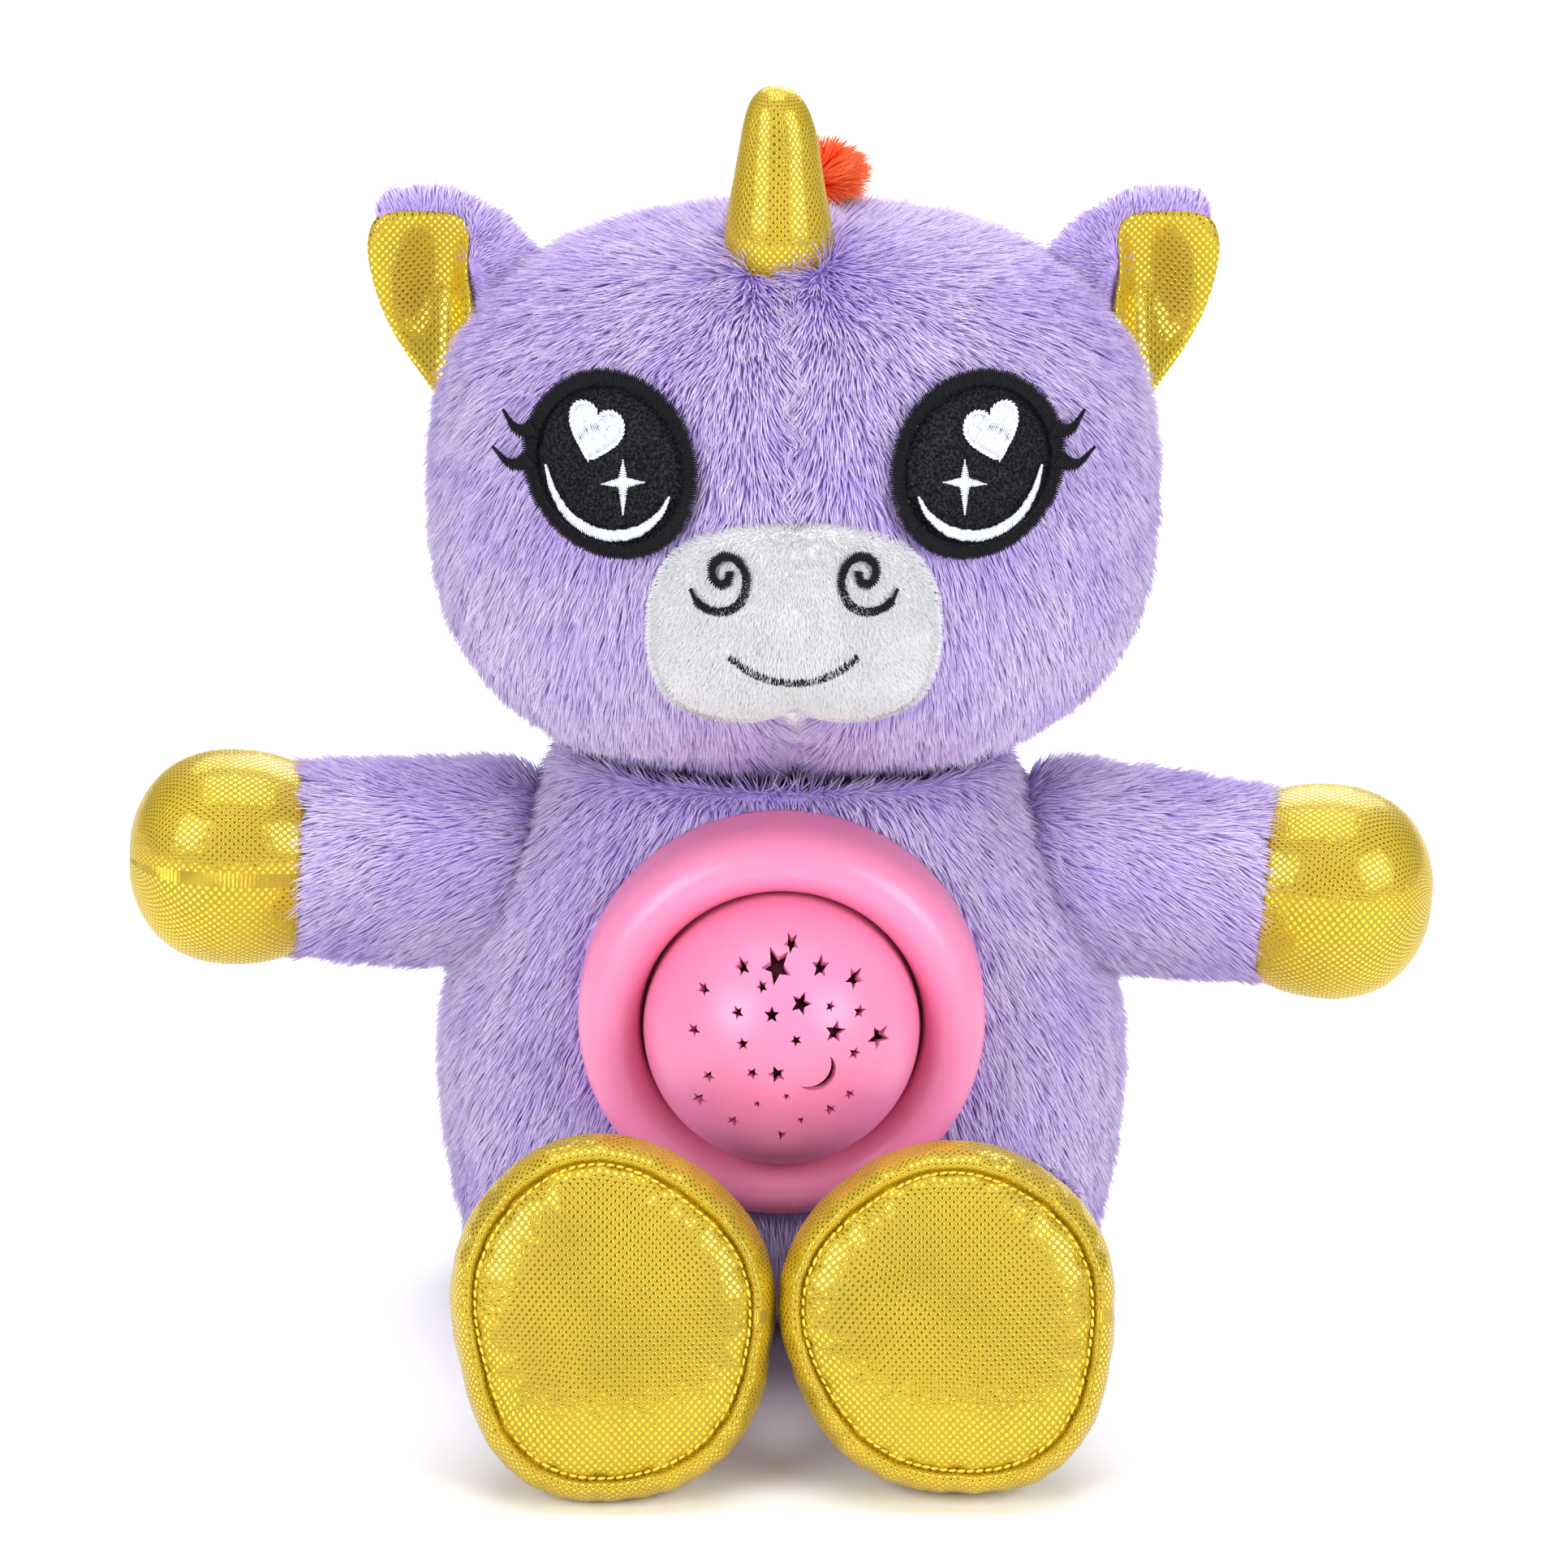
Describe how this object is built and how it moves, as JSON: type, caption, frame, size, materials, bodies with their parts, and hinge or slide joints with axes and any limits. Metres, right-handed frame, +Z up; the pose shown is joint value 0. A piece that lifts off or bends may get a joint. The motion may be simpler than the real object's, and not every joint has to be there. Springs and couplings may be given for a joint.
{
  "type": "plush unicorn",
  "caption": "Seated plush unicorn with foil-dotted horn, ears and hooves and a press-on star projector dome in its belly.",
  "frame": {"origin": "middle of the toy on the surface it sits on: centre of its bounding box, at the base", "axes": "+Z up, the toy faces -Y, +X to the viewer's right; arms spread along X"},
  "size_m": [0.282, 0.1982, 0.2694],
  "materials": {
    "lavender_fur": "long soft pile",
    "white_plush": "short shorn pile",
    "gold_foil": "knit printed with gold foil dots",
    "orange_pile": "long fluffy pile",
    "black_embroidery": "satin-stitched thread",
    "stuffing": "polyester fibre",
    "pink_plastic": "satin gloss moulding",
    "clear_plastic": "clear moulding, faintly tinted",
    "white_plastic": "moulded",
    "black_plastic": "moulded",
    "plated_steel": "nickel plated",
    "circuit_board": "solder-masked laminate",
    "lamp_red": "tinted epoxy",
    "lamp_green": "tinted epoxy",
    "lamp_blue": "tinted epoxy",
    "hook_and_loop": "hook-and-loop tape",
    "cell_jacket": "printed steel can",
    "red_sleeve": "soft insulation",
    "black_sleeve": "soft insulation"
  },
  "bodies": {
    "torso": {"torso_skin": "lavender_fur", "torso_filling": "stuffing", "bezel_ring": "pink_plastic", "housing_cup": "white_plastic", "clamp_ring": "white_plastic", "led_board": "circuit_board", "led_red": "lamp_red", "led_green": "lamp_green", "led_blue": "lamp_blue", "push_switch": "black_plastic", "battery_box": "white_plastic", "lead_red": "red_sleeve", "lead_black": "black_sleeve", "flap_loop_strip": "hook_and_loop", "contact_plate_left": "plated_steel", "contact_plate_right": "plated_steel", "dome_spring_1": "plated_steel", "battery_cell_1": "cell_jacket", "dome_spring_2": "plated_steel", "battery_cell_2": "cell_jacket", "dome_spring_3": "plated_steel", "battery_cell_3": "cell_jacket", "housing_screw_1": "plated_steel", "housing_screw_2": "plated_steel", "housing_screw_3": "plated_steel", "housing_screw_4": "plated_steel"},
    "neck": {"neck_filling": "stuffing"},
    "head": {"head_skin": "lavender_fur", "head_filling": "stuffing", "muzzle_patch": "white_plush", "eye_patch_left": "black_embroidery", "eye_patch_right": "black_embroidery", "horn_cover": "gold_foil", "horn_filling": "stuffing", "mane_strip": "orange_pile"},
    "dome": {"projector_dome": "pink_plastic", "clear_liner": "clear_plastic"},
    "tail": {"tail": "orange_pile"},
    "flap": {"back_flap": "lavender_fur", "flap_hook_strip": "hook_and_loop"},
    "door": {"battery_door": "white_plastic", "battery_door_screw": "plated_steel"},
    "ear_left": {"ear_back_left": "lavender_fur", "ear_lining_left": "gold_foil"},
    "arm_left": {"sleeve_left": "lavender_fur", "arm_filling_left": "stuffing", "hoof_cover_left": "gold_foil"},
    "leg_left": {"leg_cover_left": "lavender_fur", "leg_filling_left": "stuffing", "foot_upper_left": "gold_foil", "sole_left": "gold_foil"},
    "ear_right": {"ear_back_right": "lavender_fur", "ear_lining_right": "gold_foil"},
    "arm_right": {"sleeve_right": "lavender_fur", "arm_filling_right": "stuffing", "hoof_cover_right": "gold_foil"},
    "leg_right": {"leg_cover_right": "lavender_fur", "leg_filling_right": "stuffing", "foot_upper_right": "gold_foil", "sole_right": "gold_foil"}
  },
  "joints": [
    {"name": "head_turn", "type": "hinge", "parent": "torso", "child": "neck", "pos_m": [0.0025, 0.0281, 0.179], "axis": [0, 0, 1], "range_deg": [-20, 20], "stiffness_Nm_per_rad": 0.12},
    {"name": "head_nod", "type": "hinge", "parent": "neck", "child": "head", "pos_m": [0.0025, 0.0281, 0.179], "axis": [1, 0, 0], "range_deg": [-12, 12], "stiffness_Nm_per_rad": 0.6},
    {"name": "ear_left_flex", "type": "hinge", "parent": "head", "child": "ear_left", "pos_m": [-0.0575, 0.0321, 0.2145], "axis": [0.5183, 0, 0.8552], "range_deg": [-15, 15], "stiffness_Nm_per_rad": 0.03},
    {"name": "ear_right_flex", "type": "hinge", "parent": "head", "child": "ear_right", "pos_m": [0.0625, 0.0321, 0.2145], "axis": [-0.5183, 0, 0.8552], "range_deg": [-15, 15], "stiffness_Nm_per_rad": 0.03},
    {"name": "arm_left_swing", "type": "hinge", "parent": "torso", "child": "arm_left", "pos_m": [-0.062, 0.0281, 0.095], "axis": [0, 1, 0], "range_deg": [-35, 15], "stiffness_Nm_per_rad": 0.15},
    {"name": "arm_right_swing", "type": "hinge", "parent": "torso", "child": "arm_right", "pos_m": [0.062, 0.0281, 0.095], "axis": [0, 1, 0], "range_deg": [-15, 35], "stiffness_Nm_per_rad": 0.15},
    {"name": "leg_left_swing", "type": "hinge", "parent": "torso", "child": "leg_left", "pos_m": [-0.045, -0.0039, 0.0225], "axis": [1, 0, 0], "range_deg": [-5, 45], "stiffness_Nm_per_rad": 0.3},
    {"name": "leg_right_swing", "type": "hinge", "parent": "torso", "child": "leg_right", "pos_m": [0.045, -0.0039, 0.0225], "axis": [1, 0, 0], "range_deg": [-5, 45], "stiffness_Nm_per_rad": 0.3},
    {"name": "tail_flex", "type": "hinge", "parent": "torso", "child": "tail", "pos_m": [0, 0.0791, 0.017], "axis": [1, 0, 0], "range_deg": [-15, 15], "stiffness_Nm_per_rad": 0.02},
    {"name": "dome_press", "type": "slide", "parent": "torso", "child": "dome", "axis": [0, 1, 0], "range_m": [0, 0.003], "stiffness_N_per_m": 900, "deforming": ["dome_spring_1", "dome_spring_2", "dome_spring_3"]},
    {"name": "flap_open", "type": "hinge", "parent": "torso", "child": "flap", "pos_m": [0, 0.0819, 0.092], "axis": [1, 0, 0], "range_deg": [0, 110]},
    {"name": "door_slide", "type": "slide", "parent": "torso", "child": "door", "axis": [0, 0, 1], "range_m": [0, 0.008]}
  ]
}
